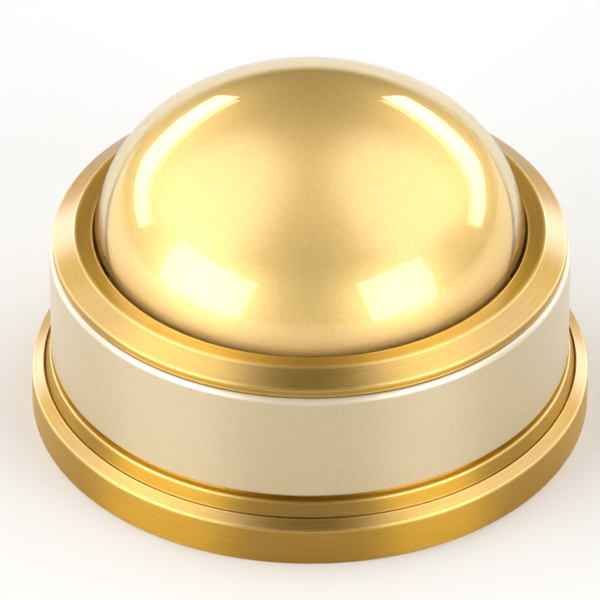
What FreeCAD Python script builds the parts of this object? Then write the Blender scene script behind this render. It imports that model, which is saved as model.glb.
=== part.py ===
import FreeCAD, Part
import math
import os
import re
import Sketcher

# Dome push button, free to stand on its flange or bolt down to a panel.
# Millimetres and degrees, +Z up, origin at the middle of the flange's underside.
# The button is turned parts on one axis, with the switch beside the spring on the +X side.

SIZES = {
    # base flange: wall, bevel, foot ring, recess for the bottom plate and the web above it
    "flange_radius": 50.0,
    "flange_wall": 7.2,
    "flange_bevel": 2.25,
    "flange_rise": 1.3,
    "foot_chamfer": 0.3,
    "foot_width": 7.0,
    "recess_depth": 3.2,
    "web_thickness": 3.8,
    # collar between the flange and the sleeve
    "collar_rise": 4.05,
    "collar_taper": 0.75,
    "collar_foot": 0.8,
    "seam_gap": 0.3,
    "groove_depth": 1.15,
    "groove_height": 1.15,
    "spigot_height": 1.6,
    "spigot_wall": 2.0,
    "web_step": 1.5,
    # painted sleeve
    "sleeve_inset": 0.25,
    "sleeve_wall": 3.05,
    "sleeve_length": 20.9,
    "sleeve_round": 1.0,
    "sleeve_chamfer": 0.4,
    "ledge_width": 5.9,
    "ledge_thickness": 3.0,
    # bezel ring, screwed into the sleeve by its skirt
    "rim_inset": 0.65,
    "rim_gap": 0.3,
    "rim_undercut": 0.9,
    "rim_wall": 1.75,
    "bezel_rise": 2.17,
    "bezel_run": 3.94,
    "crown_width": 3.11,
    "crown_dish": 0.1,
    "bore_chamfer": 0.25,
    "lip_offset": 0.9,
    "skirt_length": 7.1,
    # clear lens and the metal dome below it
    "lens_gap": 0.35,
    "lens_rise": 28.05,
    "lens_knuckle": 22.65,
    "lens_wall": 1.8,
    "lens_lift": 2.35,
    "lens_rim_step": 2.2,
    "lens_rim_thickness": 1.6,
    "reflector_side_gap": 0.6,
    "reflector_top_gap": 0.25,
    "reflector_wall": 1.2,
    "reflector_flange": 0.9,
    # plunger that carries them
    "travel": 4.0,
    "carrier_inset": 0.4,
    "carrier_thickness": 2.4,
    "register_height": 1.5,
    "register_wall": 2.2,
    "stem_radius": 5.0,
    "stem_gap": 0.8,
    "key_width": 2.2,
    "key_height": 1.4,
    "carrier_rib_height": 3.0,
    "carrier_ribs": 3,
    "rib_thickness": 1.6,
    # chassis: cup, guide barrel and switch bracket
    "cup_depth": 8.1,
    "cup_gap": 0.4,
    "cup_wall": 2.0,
    "floor_thickness": 2.5,
    "chassis_rim": 2.0,
    "chassis_wall": 1.95,
    "barrel_wall": 1.6,
    "chassis_rib_height": 4.0,
    "bracket_gap": 2.4,
    "bracket_thickness": 2.4,
    "bracket_margin": 1.2,
    # soft stops
    "damper_thickness": 0.8,
    "stop_thickness": 0.8,
    "stop_gap": 0.1,
    # return spring, with a closed turn at each end
    "spring_gap": 1.5,
    "wire_radius": 0.7,
    "active_turns": 4,
    # snap switch with its lever
    "switch_length": 19.8,
    "switch_height": 10.2,
    "case_thickness": 4.8,
    "cover_thickness": 1.6,
    "switch_hole_pitch": 9.5,
    "switch_hole_rise": 2.6,
    "lever_arm": 12.0,
    "lever_length": 14.5,
    "lever_width": 3.0,
    "lever_thickness": 0.4,
    "knuckle_wall": 0.3,
    "pivot_radius": 0.4,
    "pivot_lift": 0.9,
    "pivot_inset": 1.7,
    "ear_thickness": 0.7,
    "ear_length": 1.8,
    "pin_radius": 0.75,
    "pin_arm": 3.5,
    "pin_depth": 2.6,
    "pin_ratio": 0.235,
    "post_radius": 1.5,
    "post_length": 3.2,
    "terminal_length": 3.2,
    "terminal_width": 3.2,
    "terminal_thickness": 0.5,
    "terminal_hole": 0.8,
    "terminal_pitch": 7.3,
    # bottom plate and the wire outlet below the switch
    "plate_thickness": 2.0,
    "plate_gap": 0.2,
    "outlet_radius": 5.0,
    "grommet_wall": 1.5,
    "grommet_lip": 1.4,
    "grommet_flange": 0.9,
    # screws: shank radius, head radius, head height and reach
    "ring_count": 4,
    "diagonal": 45.0,
    "body_screw_radius": 1.0,
    "body_screw_head": 2.25,
    "body_head_height": 1.6,
    "body_screw_reach": 2.6,
    "plate_screw_radius": 1.0,
    "plate_screw_head": 2.3,
    "plate_screw_length": 5.0,
    "lens_screw_radius": 0.8,
    "lens_screw_head": 1.6,
    "lens_head_height": 1.3,
    "lens_screw_reach": 1.2,
    "switch_screw_radius": 0.95,
    "switch_screw_head": 1.9,
    "switch_head_height": 1.3,
    # tapped holes for fixing the flange to a panel
    "panel_inset": 3.5,
    "panel_hole_radius": 1.65,
    "panel_hole_depth": 6.0,
    # clearances: pressed together, sliding, set down, screw in its hole, plunger and lever at rest
    "fit_gap": 0.05,
    "edge_match": 0.0001,
    "running_gap": 0.08,
    "seat_gap": 0.1,
    "screw_gap": 0.3,
    "contact_gap": 0.08,
}

# heights and radii that follow from the sizes above, from the outside inwards and from the base up
LEVELS = {
    "seat_radius": "flange_radius - flange_bevel",
    "recess_radius": "flange_radius - foot_width",
    "panel_ring": "flange_radius - panel_inset",
    "collar_radius": "seat_radius - seam_gap",
    "collar_crown": "collar_radius - collar_taper",
    "sleeve_radius": "collar_crown - sleeve_inset",
    "groove_radius": "sleeve_radius - groove_depth",
    "sleeve_bore": "sleeve_radius - sleeve_wall",
    "ledge_bore": "sleeve_bore - ledge_width",
    "collar_bore": "ledge_bore - spigot_wall",
    "web_bore": "collar_bore - web_step",
    "skirt_radius": "sleeve_bore - fit_gap",
    "chassis_radius": "sleeve_bore - fit_gap",
    "chassis_bore": "chassis_radius - chassis_wall",
    "rim_radius": "sleeve_radius - rim_inset",
    "rim_seat": "rim_radius - rim_undercut",
    "crown_radius": "rim_radius - bezel_run",
    "bezel_bore": "crown_radius - crown_width",
    "lens_radius": "bezel_bore - lens_gap",
    "lens_bore": "lens_radius - lens_wall",
    "lens_rim_radius": "lens_radius + lens_rim_step",
    "skirt_bore": "lens_rim_radius + lens_gap",
    "reflector_radius": "lens_bore - reflector_side_gap",
    "reflector_rise": "lens_rise - lens_wall - reflector_top_gap",
    "reflector_knuckle": "lens_knuckle - lens_wall - reflector_side_gap",
    "reflector_bore": "reflector_radius - reflector_wall",
    "register_radius": "reflector_bore - fit_gap",
    "carrier_radius": "lens_rim_radius - carrier_inset",
    "cup_radius": "web_bore - cup_gap",
    "cup_bore": "cup_radius - cup_wall",
    "body_screw_ring": "(ledge_bore + sleeve_bore) / 2",
    "plate_screw_ring": "(web_bore + recess_radius) / 2",
    "lens_screw_ring": "(lens_bore + lens_rim_radius) / 2",
    "barrel_bore": "stem_radius + running_gap",
    "key_reach": "stem_radius + key_height",
    "key_corner": "sqrt(key_reach ^ 2 + (key_width / 2) ^ 2)",
    "barrel_radius": "key_reach + barrel_wall",
    "spring_radius": "barrel_radius + spring_gap + wire_radius",
    "spring_outside": "spring_radius + wire_radius",
    "bracket_side": "spring_outside + bracket_gap",
    "switch_offset": "bracket_side + bracket_thickness",
    "grommet_bore": "outlet_radius - grommet_wall",
    "knuckle_radius": "pivot_radius + fit_gap + knuckle_wall",
    "seat": "recess_depth + web_thickness",
    "flange_top": "flange_wall + flange_rise",
    "plate_low": "recess_depth - plate_thickness",
    "collar_top": "seat + collar_rise",
    "sleeve_base": "collar_top + groove_height",
    "ledge_top": "sleeve_base + ledge_thickness",
    "sleeve_top": "sleeve_base + sleeve_length",
    "skirt_low": "sleeve_top - skirt_length",
    "rim_low": "sleeve_top + rim_gap",
    "rim_edge": "sleeve_top + rim_wall",
    "bezel_top": "rim_edge + bezel_rise",
    "bore_edge": "bezel_top - crown_dish",
    "lip_low": "sleeve_top + lip_offset",
    "lens_rim_top": "lip_low - damper_thickness - fit_gap",
    "lens_centre": "sleeve_top + lens_lift",
    "lens_rim_low": "lens_rim_top - lens_rim_thickness",
    "carrier_top": "lens_rim_low - reflector_flange",
    "carrier_low": "carrier_top - carrier_thickness",
    "stop_top": "carrier_low - travel - stop_gap",
    "barrel_top": "stop_top - stop_thickness",
    "stem_low": "recess_depth + travel + stem_gap",
    "floor_top": "ledge_top - cup_depth",
    "floor_low": "floor_top - floor_thickness",
    "spring_low": "floor_top + wire_radius + fit_gap",
    "spring_height": "carrier_low - fit_gap - wire_radius - spring_low",
    "swing": "travel / lever_arm * 180 / pi",
    "lever_half": "lever_thickness / 2",
    "tip_low": "carrier_low - post_length",
    "contact_rise": "lever_arm * tan(swing) + (lever_half + post_radius) / cos(swing) - post_radius",
    "pivot_height": "tip_low - contact_gap - contact_rise",
    "case_top": "pivot_height - pivot_lift",
    "case_low": "case_top - switch_height",
    "case_side": "switch_offset + case_thickness",
    "cover_side": "case_side + cover_thickness",
    "switch_half": "switch_length / 2",
    "switch_hole_side": "switch_hole_pitch / 2",
    "switch_hole_height": "case_low + switch_hole_rise",
    "pin_middle": "switch_offset + case_thickness / 2",
    "pivot_place": "pivot_inset - switch_half",
    "pin_place": "pivot_place + pin_arm",
    "post_place": "pivot_place + lever_arm",
    "pin_low": "case_top - pin_depth",
    "pin_rise": "(pin_arm - pin_radius) * tan(swing) - lever_half / cos(swing)",
    "pin_top": "pivot_height + pin_rise - contact_gap",
    "body_head_low": "recess_depth + seat_gap",
    "body_head_top": "body_head_low + body_head_height",
}

doc = FreeCAD.newDocument("dome_button")
sheet = doc.addObject("Spreadsheet::Sheet", "Sizes")


def fill_sheet():
    row = 0
    for name, size in SIZES.items():
        row += 1
        sheet.set("A%d" % row, name)
        sheet.set("B%d" % row, str(size))
        sheet.setAlias("B%d" % row, name)
    for name, formula in LEVELS.items():
        row += 1
        sheet.set("A%d" % row, name)
        sheet.set("B%d" % row, "=" + formula)
        sheet.setAlias("B%d" % row, name)
    doc.recompute()


NAMES = re.compile(r"\b(%s)\b" % "|".join(list(SIZES) + list(LEVELS)))


def bound(text):
    # a formula in the sheet's names, as seen from another object
    return NAMES.sub(r"Sizes.\1", text)


def value(text):
    return float(sheet.evalExpression(text))


# Sketches and features

def make_body(label):
    body = doc.addObject("PartDesign::Body", label)
    body.Label = label
    return body


def make_sketch(body, name, role, right="0", up="0", out="0"):
    # role is the origin plane; right, up and out shift the sketch in its own directions
    sketch = body.newObject("Sketcher::SketchObject", name)
    plane = [part for part in body.Origin.OriginFeatures if part.Role == role][0]
    sketch.AttachmentSupport = [(plane, "")]
    sketch.MapMode = "FlatFace"
    for axis, shift in zip("xyz", (right, up, out)):
        if shift != "0":
            sketch.setExpression("AttachmentOffset.Base." + axis, bound(shift))
    return sketch


def drive(sketch, constraint, text):
    index = sketch.addConstraint(constraint)
    sketch.setExpression("Constraints[%d]" % index, bound(text))


# points of a sketch's curves, and the sketch's own origin
START, END, CENTRE = 1, 2, 3
ORIGIN = (-1, START)


def pin_point(sketch, curve, end, x, y):
    # x and y are formulas, or None to leave a direction free
    if x is not None:
        drive(sketch, Sketcher.Constraint("DistanceX", *ORIGIN, curve, end, value(x)), x)
    if y is not None:
        drive(sketch, Sketcher.Constraint("DistanceY", *ORIGIN, curve, end, value(y)), y)


def dome_arcs(sketch, side, apex, knuckle):
    # from the side point up to the apex: a knuckle arc and a crown arc that meet in a tangent
    radius, centre_height = value(side[0]), value(side[1])
    rise = value(apex[1]) - centre_height
    bend = value(knuckle)
    crown = ((radius - bend) ** 2 + rise ** 2 - bend ** 2) / (2 * (rise - bend))
    joint = math.atan2(crown - rise, radius - bend)
    curves = []
    for middle, size, first, last in (
            ((radius - bend, centre_height), bend, 0, joint),
            ((0, centre_height + rise - crown), crown, joint, math.pi / 2)):
        ring = Part.Circle(FreeCAD.Vector(*middle, 0), FreeCAD.Vector(0, 0, 1), size)
        curves.append(sketch.addGeometry(Part.ArcOfCircle(ring, first, last)))
    low, high = curves
    pin_point(sketch, low, CENTRE, "%s - (%s)" % (side[0], knuckle), side[1])
    drive(sketch, Sketcher.Constraint("Radius", low, bend), knuckle)
    pin_point(sketch, high, CENTRE, "0", None)
    sketch.addConstraint(Sketcher.Constraint("Tangent", low, END, high, START))
    return low, high


def draw_outline(sketch, points, domes=None):
    # closed outline through points given as formulas; domes gives the knuckle radius of each run,
    # by its number, that climbs from a dome's side to its apex or comes down from it
    domes = domes or {}
    count = len(points)
    runs = []
    for number, start in enumerate(points):
        end = points[(number + 1) % count]
        if number in domes and value(start[1]) < value(end[1]):
            low, high = dome_arcs(sketch, start, end, domes[number])
            runs.append(((low, START), (high, END)))
        elif number in domes:
            low, high = dome_arcs(sketch, end, start, domes[number])
            runs.append(((high, END), (low, START)))
        else:
            ends = [FreeCAD.Vector(value(x), value(y), 0) for x, y in (start, end)]
            line = sketch.addGeometry(Part.LineSegment(*ends))
            runs.append(((line, START), (line, END)))
    for number, (_, last) in enumerate(runs):
        following = runs[(number + 1) % count][0]
        sketch.addConstraint(Sketcher.Constraint("Coincident", *last, *following))
    for number, (first, _) in enumerate(runs):
        x, y = points[number]
        beside_dome = number in domes or (number - 1) % count in domes
        # a dome's own arcs place its side point's radius
        if beside_dome and x != "0":
            x = None
        pin_point(sketch, *first, x, y)


def rectangle(sketch, left, right, low, high):
    draw_outline(sketch, [(left, low), (right, low), (right, high), (left, high)])


def circle(sketch, x, y, radius):
    middle = FreeCAD.Vector(value(x), value(y), 0)
    curve = sketch.addGeometry(Part.Circle(middle, FreeCAD.Vector(0, 0, 1), value(radius)))
    pin_point(sketch, curve, CENTRE, x, y)
    drive(sketch, Sketcher.Constraint("Radius", curve, value(radius)), radius)


def revolve(body, sketch, name, axis="V_Axis", kind="PartDesign::Revolution"):
    feature = body.newObject(kind, name)
    feature.Profile = sketch
    feature.ReferenceAxis = (sketch, [axis])
    feature.Angle = 360
    sketch.Visibility = False
    doc.recompute()
    return feature


def pad(body, sketch, name, length, reverse=False, both_ways=False):
    feature = body.newObject("PartDesign::Pad", name)
    feature.Profile = sketch
    feature.setExpression("Length", bound(length))
    feature.Reversed = reverse
    feature.Midplane = both_ways
    doc.recompute()
    return feature


def pocket(body, sketch, name, length, along_normal=False, both_ways=False):
    # cuts against the sketch's normal, or along it
    before = body.Shape.Volume
    feature = body.newObject("PartDesign::Pocket", name)
    feature.Profile = sketch
    feature.setExpression("Length", bound(length))
    feature.Reversed = along_normal
    feature.Midplane = both_ways
    doc.recompute()
    if not body.Shape.Volume < before:
        raise RuntimeError("%s in %s cuts nothing" % (name, body.Label))
    return feature


def repeat_round(body, feature, sketch, name, count, axis="N_Axis", angle="360"):
    pattern = body.newObject("PartDesign::PolarPattern", name)
    pattern.Originals = [feature]
    pattern.Axis = (sketch, [axis])
    pattern.setExpression("Angle", bound(angle))
    pattern.setExpression("Occurrences", bound(count))
    body.Tip = pattern
    doc.recompute()
    return pattern


def bore_ring(body, name, ring, radius, start, depth, upward, angle="0"):
    # a ring of round holes about the button's axis, from the height start
    sketch = make_sketch(body, name + "_sketch", "XY_Plane", out=start)
    circle(sketch, "%s * cos(%s)" % (ring, angle), "%s * sin(%s)" % (ring, angle), radius)
    hole = pocket(body, sketch, name, depth, along_normal=upward)
    return repeat_round(body, hole, sketch, name + "_ring", "ring_count")


def turned(label, points, domes=None):
    # a piece turned about the button's axis from its half section, points as (radius, height)
    body = make_body(label)
    sketch = make_sketch(body, label + "_section", "XZ_Plane")
    draw_outline(sketch, points, domes)
    revolve(body, sketch, label + "_turned")
    return body


def screw_ring(label, ring, points, angle="0"):
    # identical screws standing on a ring, points as (radius, height) from each screw's own axis
    body = make_body(label)
    sketch = make_sketch(body, label + "_section", "XZ_Plane", right=ring)
    draw_outline(sketch, points)
    screw = revolve(body, sketch, label + "_turned")
    middle = make_sketch(body, label + "_middle", "XY_Plane")
    repeat_round(body, screw, middle, label + "_ring", "ring_count")
    body.Placement = FreeCAD.Placement(FreeCAD.Vector(), FreeCAD.Rotation(FreeCAD.Vector(0, 0, 1), 1))
    body.setExpression("Placement.Rotation.Angle", bound(angle))
    return body


def round_edge(body, name, radius, edge_radius, edge_height):
    # fillet on the circular edge with this radius and height
    tip = body.Tip
    picked = []
    for number, edge in enumerate(tip.Shape.Edges, 1):
        if not isinstance(edge.Curve, Part.Circle):
            continue
        same_radius = abs(edge.Curve.Radius - value(edge_radius)) < value("edge_match")
        if same_radius and abs(edge.Curve.Center.z - value(edge_height)) < value("edge_match"):
            picked.append("Edge%d" % number)
    fillet = body.newObject("PartDesign::Fillet", name)
    fillet.Base = (tip, picked)
    fillet.setExpression("Radius", bound(radius))
    doc.recompute()
    return fillet


# Housing

def base_flange():
    body = turned("base_flange", [
        ("recess_radius", "0"),
        ("flange_radius - foot_chamfer", "0"),
        ("flange_radius", "foot_chamfer"),
        ("flange_radius", "flange_wall"),
        ("seat_radius", "flange_top"),
        ("seat_radius", "seat"),
        ("web_bore", "seat"),
        ("web_bore", "recess_depth"),
        ("recess_radius", "recess_depth"),
    ])
    bore_ring(body, "screw_hole", "body_screw_ring", "body_screw_radius + screw_gap", "seat",
              "web_thickness", upward=False, angle="diagonal")
    bore_ring(body, "screw_counterbore", "body_screw_ring", "body_screw_head + seat_gap",
              "recess_depth", "body_head_height + seat_gap", upward=True, angle="diagonal")
    bore_ring(body, "plate_tapping", "plate_screw_ring", "plate_screw_radius + fit_gap",
              "seat", "web_thickness", upward=False)
    bore_ring(body, "panel_tapping", "panel_ring", "panel_hole_radius", "0",
              "panel_hole_depth", upward=True)
    return body


def collar_ring():
    body = turned("collar_ring", [
        ("collar_bore", "seat"),
        ("seat_radius - fit_gap", "seat"),
        ("seat_radius - fit_gap", "seat + collar_foot"),
        ("collar_radius", "seat + collar_foot"),
        ("collar_radius", "flange_top"),
        ("collar_crown", "collar_top"),
        ("groove_radius", "collar_top"),
        ("groove_radius", "sleeve_base"),
        ("ledge_bore - fit_gap", "sleeve_base"),
        ("ledge_bore - fit_gap", "sleeve_base + spigot_height"),
        ("collar_bore", "sleeve_base + spigot_height"),
    ])
    bore_ring(body, "screw_hole", "body_screw_ring", "body_screw_radius + screw_gap", "sleeve_base",
              "sleeve_base - seat", upward=False, angle="diagonal")
    return body


def body_sleeve():
    body = turned("body_sleeve", [
        ("ledge_bore", "sleeve_base"),
        ("sleeve_radius - sleeve_chamfer", "sleeve_base"),
        ("sleeve_radius", "sleeve_base + sleeve_chamfer"),
        ("sleeve_radius", "sleeve_top"),
        ("sleeve_bore", "sleeve_top"),
        ("sleeve_bore", "ledge_top"),
        ("ledge_bore", "ledge_top"),
    ])
    bore_ring(body, "screw_tapping", "body_screw_ring", "body_screw_radius + fit_gap",
              "ledge_top", "ledge_thickness", upward=False, angle="diagonal")
    round_edge(body, "shoulder", "sleeve_round", "sleeve_radius", "sleeve_top")
    return body


def bezel_ring():
    return turned("bezel_ring", [
        ("skirt_bore", "skirt_low"),
        ("skirt_radius", "skirt_low"),
        ("skirt_radius", "sleeve_top"),
        ("rim_seat", "sleeve_top"),
        ("rim_seat", "rim_low"),
        ("rim_radius", "rim_low"),
        ("rim_radius", "rim_edge"),
        ("crown_radius", "bezel_top"),
        ("bezel_bore + bore_chamfer", "bore_edge"),
        ("bezel_bore", "bore_edge - bore_chamfer"),
        ("bezel_bore", "lip_low"),
        ("skirt_bore", "lip_low"),
    ])


def damper_ring():
    return turned("damper_ring", [
        ("bezel_bore + bore_chamfer", "lip_low - damper_thickness"),
        ("skirt_bore - seat_gap", "lip_low - damper_thickness"),
        ("skirt_bore - seat_gap", "lip_low"),
        ("bezel_bore + bore_chamfer", "lip_low"),
    ])


def chassis():
    body = turned("chassis", [
        ("barrel_bore", "floor_low"),
        ("cup_radius", "floor_low"),
        ("cup_radius", "ledge_top"),
        ("chassis_radius", "ledge_top"),
        ("chassis_radius", "skirt_low"),
        ("chassis_bore", "skirt_low"),
        ("chassis_bore", "ledge_top + chassis_rim"),
        ("cup_bore", "ledge_top + chassis_rim"),
        ("cup_bore", "floor_top"),
        ("barrel_radius", "floor_top"),
        ("barrel_radius", "barrel_top"),
        ("barrel_bore", "barrel_top"),
    ])
    bracket = make_sketch(body, "bracket_plan", "XY_Plane", out="floor_low")
    rectangle(bracket, "bracket_side", "switch_offset", "0 - switch_half", "switch_half")
    pad(body, bracket, "bracket", "case_top - bracket_margin - floor_low")
    # three ribs fan out on the floor's free half
    for number, turn in enumerate(("0 - diagonal", "0", "diagonal"), 1):
        rib = make_sketch(body, "rib_plan_%d" % number, "XY_Plane", out="floor_low")
        rib.setExpression("AttachmentOffset.Rotation.Angle", bound(turn))
        rectangle(rib, "0 - cup_radius + cup_wall / 2", "0 - bracket_side",
                  "0 - rib_thickness / 2", "rib_thickness / 2")
        pad(body, rib, "rib_%d" % number, "floor_thickness + chassis_rib_height")
    keyway = make_sketch(body, "keyway_plan", "XY_Plane", out="barrel_top")
    rectangle(keyway, "0 - key_width / 2 - running_gap", "key_width / 2 + running_gap",
              "0 - key_reach - running_gap", "key_reach + running_gap")
    pocket(body, keyway, "keyway", "barrel_top - floor_low")
    window = make_sketch(body, "window_plan", "XY_Plane", out="floor_top")
    rectangle(window, "switch_offset", "cover_side", "0 - switch_half", "switch_half")
    pocket(body, window, "terminal_window", "floor_thickness")
    tapping = make_sketch(body, "tapping_face", "YZ_Plane", out="switch_offset")
    for side in ("0 - switch_hole_side", "switch_hole_side"):
        circle(tapping, side, "switch_hole_height", "switch_screw_radius + fit_gap")
    pocket(body, tapping, "switch_tapping", "bracket_thickness")
    return body


def base_plate():
    body = turned("base_plate", [
        ("0", "plate_low"),
        ("recess_radius - plate_gap", "plate_low"),
        ("recess_radius - plate_gap", "recess_depth"),
        ("0", "recess_depth"),
    ])
    sink = make_sketch(body, "countersink_section", "XZ_Plane", right="plate_screw_ring")
    draw_outline(sink, [
        ("0", "plate_low"),
        ("plate_screw_head + seat_gap", "plate_low"),
        ("plate_screw_radius + seat_gap", "plate_low + plate_screw_head - plate_screw_radius"),
        ("plate_screw_radius + seat_gap", "recess_depth"),
        ("0", "recess_depth"),
    ])
    groove = revolve(body, sink, "countersink", kind="PartDesign::Groove")
    middle = make_sketch(body, "countersink_middle", "XY_Plane")
    repeat_round(body, groove, middle, "countersinks", "ring_count")
    outlet = make_sketch(body, "outlet_plan", "XY_Plane", out="recess_depth")
    circle(outlet, "pin_middle", "0", "outlet_radius")
    pocket(body, outlet, "outlet", "plate_thickness")
    return body


def wire_grommet():
    # rubber bush in the plate's outlet, with a lip on each side of the plate
    body = make_body("wire_grommet")
    sketch = make_sketch(body, "grommet_section", "XZ_Plane", right="pin_middle")
    draw_outline(sketch, [
        ("grommet_bore", "plate_low - grommet_flange"),
        ("outlet_radius + grommet_lip", "plate_low - grommet_flange"),
        ("outlet_radius + grommet_lip", "plate_low"),
        ("outlet_radius", "plate_low"),
        ("outlet_radius", "recess_depth"),
        ("outlet_radius + grommet_lip", "recess_depth"),
        ("outlet_radius + grommet_lip", "recess_depth + grommet_flange"),
        ("grommet_bore", "recess_depth + grommet_flange"),
    ])
    revolve(body, sketch, "grommet_turned")
    return body


# Plunger

def dome_lens():
    body = turned("dome_lens", [
        ("lens_bore", "lens_rim_low"),
        ("lens_rim_radius", "lens_rim_low"),
        ("lens_rim_radius", "lens_rim_top"),
        ("lens_radius", "lens_rim_top"),
        ("lens_radius", "lens_centre"),
        ("0", "lens_centre + lens_rise"),
        ("0", "lens_centre + lens_rise - lens_wall"),
        ("lens_bore", "lens_centre"),
    ], {4: "lens_knuckle", 6: "lens_knuckle - lens_wall"})
    bore_ring(body, "screw_pilot", "lens_screw_ring", "lens_screw_radius + fit_gap",
              "lens_rim_low", "lens_screw_reach + seat_gap", upward=True, angle="diagonal")
    return body


def reflector_dome():
    # its flange is clamped between the lens's rim and the carrier
    body = turned("reflector_dome", [
        ("reflector_bore", "carrier_top"),
        ("carrier_radius", "carrier_top"),
        ("carrier_radius", "lens_rim_low"),
        ("reflector_radius", "lens_rim_low"),
        ("reflector_radius", "lens_centre"),
        ("0", "lens_centre + reflector_rise"),
        ("0", "lens_centre + reflector_rise - reflector_wall"),
        ("reflector_bore", "lens_centre"),
    ], {4: "reflector_knuckle", 6: "reflector_knuckle - reflector_wall"})
    bore_ring(body, "screw_hole", "lens_screw_ring", "lens_screw_radius + seat_gap",
              "lens_rim_low", "reflector_flange", upward=False, angle="diagonal")
    return body


def plunger_carrier():
    body = turned("plunger_carrier", [
        ("0", "stem_low"),
        ("stem_radius", "stem_low"),
        ("stem_radius", "carrier_low"),
        ("carrier_radius", "carrier_low"),
        ("carrier_radius", "carrier_top"),
        ("register_radius", "carrier_top"),
        ("register_radius", "carrier_top + register_height"),
        ("register_radius - register_wall", "carrier_top + register_height"),
        ("register_radius - register_wall", "carrier_top"),
        ("0", "carrier_top"),
    ])
    key = make_sketch(body, "key_plan", "XY_Plane", out="stem_low")
    rectangle(key, "0 - key_width / 2", "key_width / 2", "0 - key_reach", "key_reach")
    pad(body, key, "key", "carrier_low - stem_low")
    rib = make_sketch(body, "rib_plan", "XY_Plane", out="carrier_top")
    rectangle(rib, "0 - register_radius + register_wall / 2", "register_radius - register_wall / 2",
              "0 - rib_thickness / 2", "rib_thickness / 2")
    bar = pad(body, rib, "rib", "carrier_rib_height")
    repeat_round(body, bar, rib, "ribs", "carrier_ribs", angle="180 * (carrier_ribs - 1) / carrier_ribs")
    # post with a ball end that presses the switch's lever
    post = make_sketch(body, "post_plan", "XY_Plane", out="carrier_low")
    circle(post, "pin_middle", "post_place", "post_radius")
    pad(body, post, "post", "post_length - post_radius", reverse=True)
    ball = body.newObject("PartDesign::AdditiveSphere", "post_end")
    ball.setExpression("Radius", bound("post_radius"))
    for axis, place in zip("xyz", ("pin_middle", "post_place", "tip_low + post_radius")):
        ball.setExpression("Placement.Base." + axis, bound(place))
    doc.recompute()
    bore_ring(body, "screw_hole", "lens_screw_ring", "lens_screw_radius + seat_gap",
              "carrier_top", "carrier_thickness", upward=False, angle="diagonal")
    return body


def stop_washer():
    return turned("stop_washer", [
        ("key_corner + seat_gap", "barrel_top"),
        ("barrel_radius", "barrel_top"),
        ("barrel_radius", "stop_top"),
        ("key_corner + seat_gap", "stop_top"),
    ])


def return_spring():
    # a coil of half turns, each half of a ring tilted up by its own rise, with a closed turn at each end
    radius, wire = value("spring_radius"), value("wire_radius")
    closed_rise = value("wire_radius + fit_gap")
    open_turns = 2 * int(value("active_turns"))
    open_rise = (value("spring_height") - 4 * closed_rise) / open_turns
    height = value("spring_low")
    halves = []
    for number, rise in enumerate([closed_rise] * 2 + [open_rise] * open_turns + [closed_rise] * 2):
        side = 1 - 2 * (number % 2)
        start = FreeCAD.Vector(side * radius, 0, height)
        end = FreeCAD.Vector(-side * radius, 0, height + rise)
        outward = (start - end).normalize()
        ahead = FreeCAD.Vector(0, side, 0)
        middle = (start + end) / 2
        section = Part.Face(Part.Wire(Part.makeCircle(wire, start, ahead)))
        halves.append(section.revolve(middle, outward.cross(ahead), 180))
        height += rise
    coil = halves[0].multiFuse(halves[1:])
    spring = doc.addObject("Part::Feature", "return_spring")
    spring.Label = "return_spring"
    spring.Shape = coil.Solids[0]
    return spring


# Switch

def switch_box(label, near, far):
    # one half of the switch's case, with its two mounting holes
    body = make_body(label)
    plan = make_sketch(body, label + "_plan", "XY_Plane", out="case_low")
    rectangle(plan, near, far, "0 - switch_half", "switch_half")
    pad(body, plan, label + "_block", "switch_height")
    holes = make_sketch(body, label + "_holes", "YZ_Plane", out=far)
    for side in ("0 - switch_hole_side", "switch_hole_side"):
        circle(holes, side, "switch_hole_height", "switch_screw_radius + seat_gap")
    pocket(body, holes, label + "_bores", "%s - (%s)" % (far, near))
    return body


def switch_case():
    body = switch_box("switch_case", "switch_offset", "case_side")
    for name, near, far in (("inner_ear", "switch_offset", "switch_offset + ear_thickness"),
                            ("outer_ear", "case_side - ear_thickness", "case_side")):
        ear = make_sketch(body, name + "_plan", "XY_Plane", out="case_top")
        rectangle(ear, near, far, "pivot_place - ear_length / 2", "pivot_place + ear_length / 2")
        pad(body, ear, name, "pivot_lift + ear_length / 2")
    pivot = make_sketch(body, "pivot_face", "YZ_Plane", out="case_side")
    circle(pivot, "pivot_place", "pivot_height", "pivot_radius + fit_gap")
    pocket(body, pivot, "pivot_bore", "case_thickness")
    bore = make_sketch(body, "pin_plan", "XY_Plane", out="case_top")
    circle(bore, "pin_middle", "pin_place", "pin_radius + running_gap")
    pocket(body, bore, "pin_bore", "pin_depth + travel * pin_ratio + seat_gap")
    return body


def switch_cover():
    return switch_box("switch_cover", "case_side", "cover_side")


def lever_pivot():
    body = make_body("lever_pivot")
    sketch = make_sketch(body, "pivot_section", "YZ_Plane", out="switch_offset")
    circle(sketch, "pivot_place", "pivot_height", "pivot_radius")
    pad(body, sketch, "pivot", "case_thickness")
    return body


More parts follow.
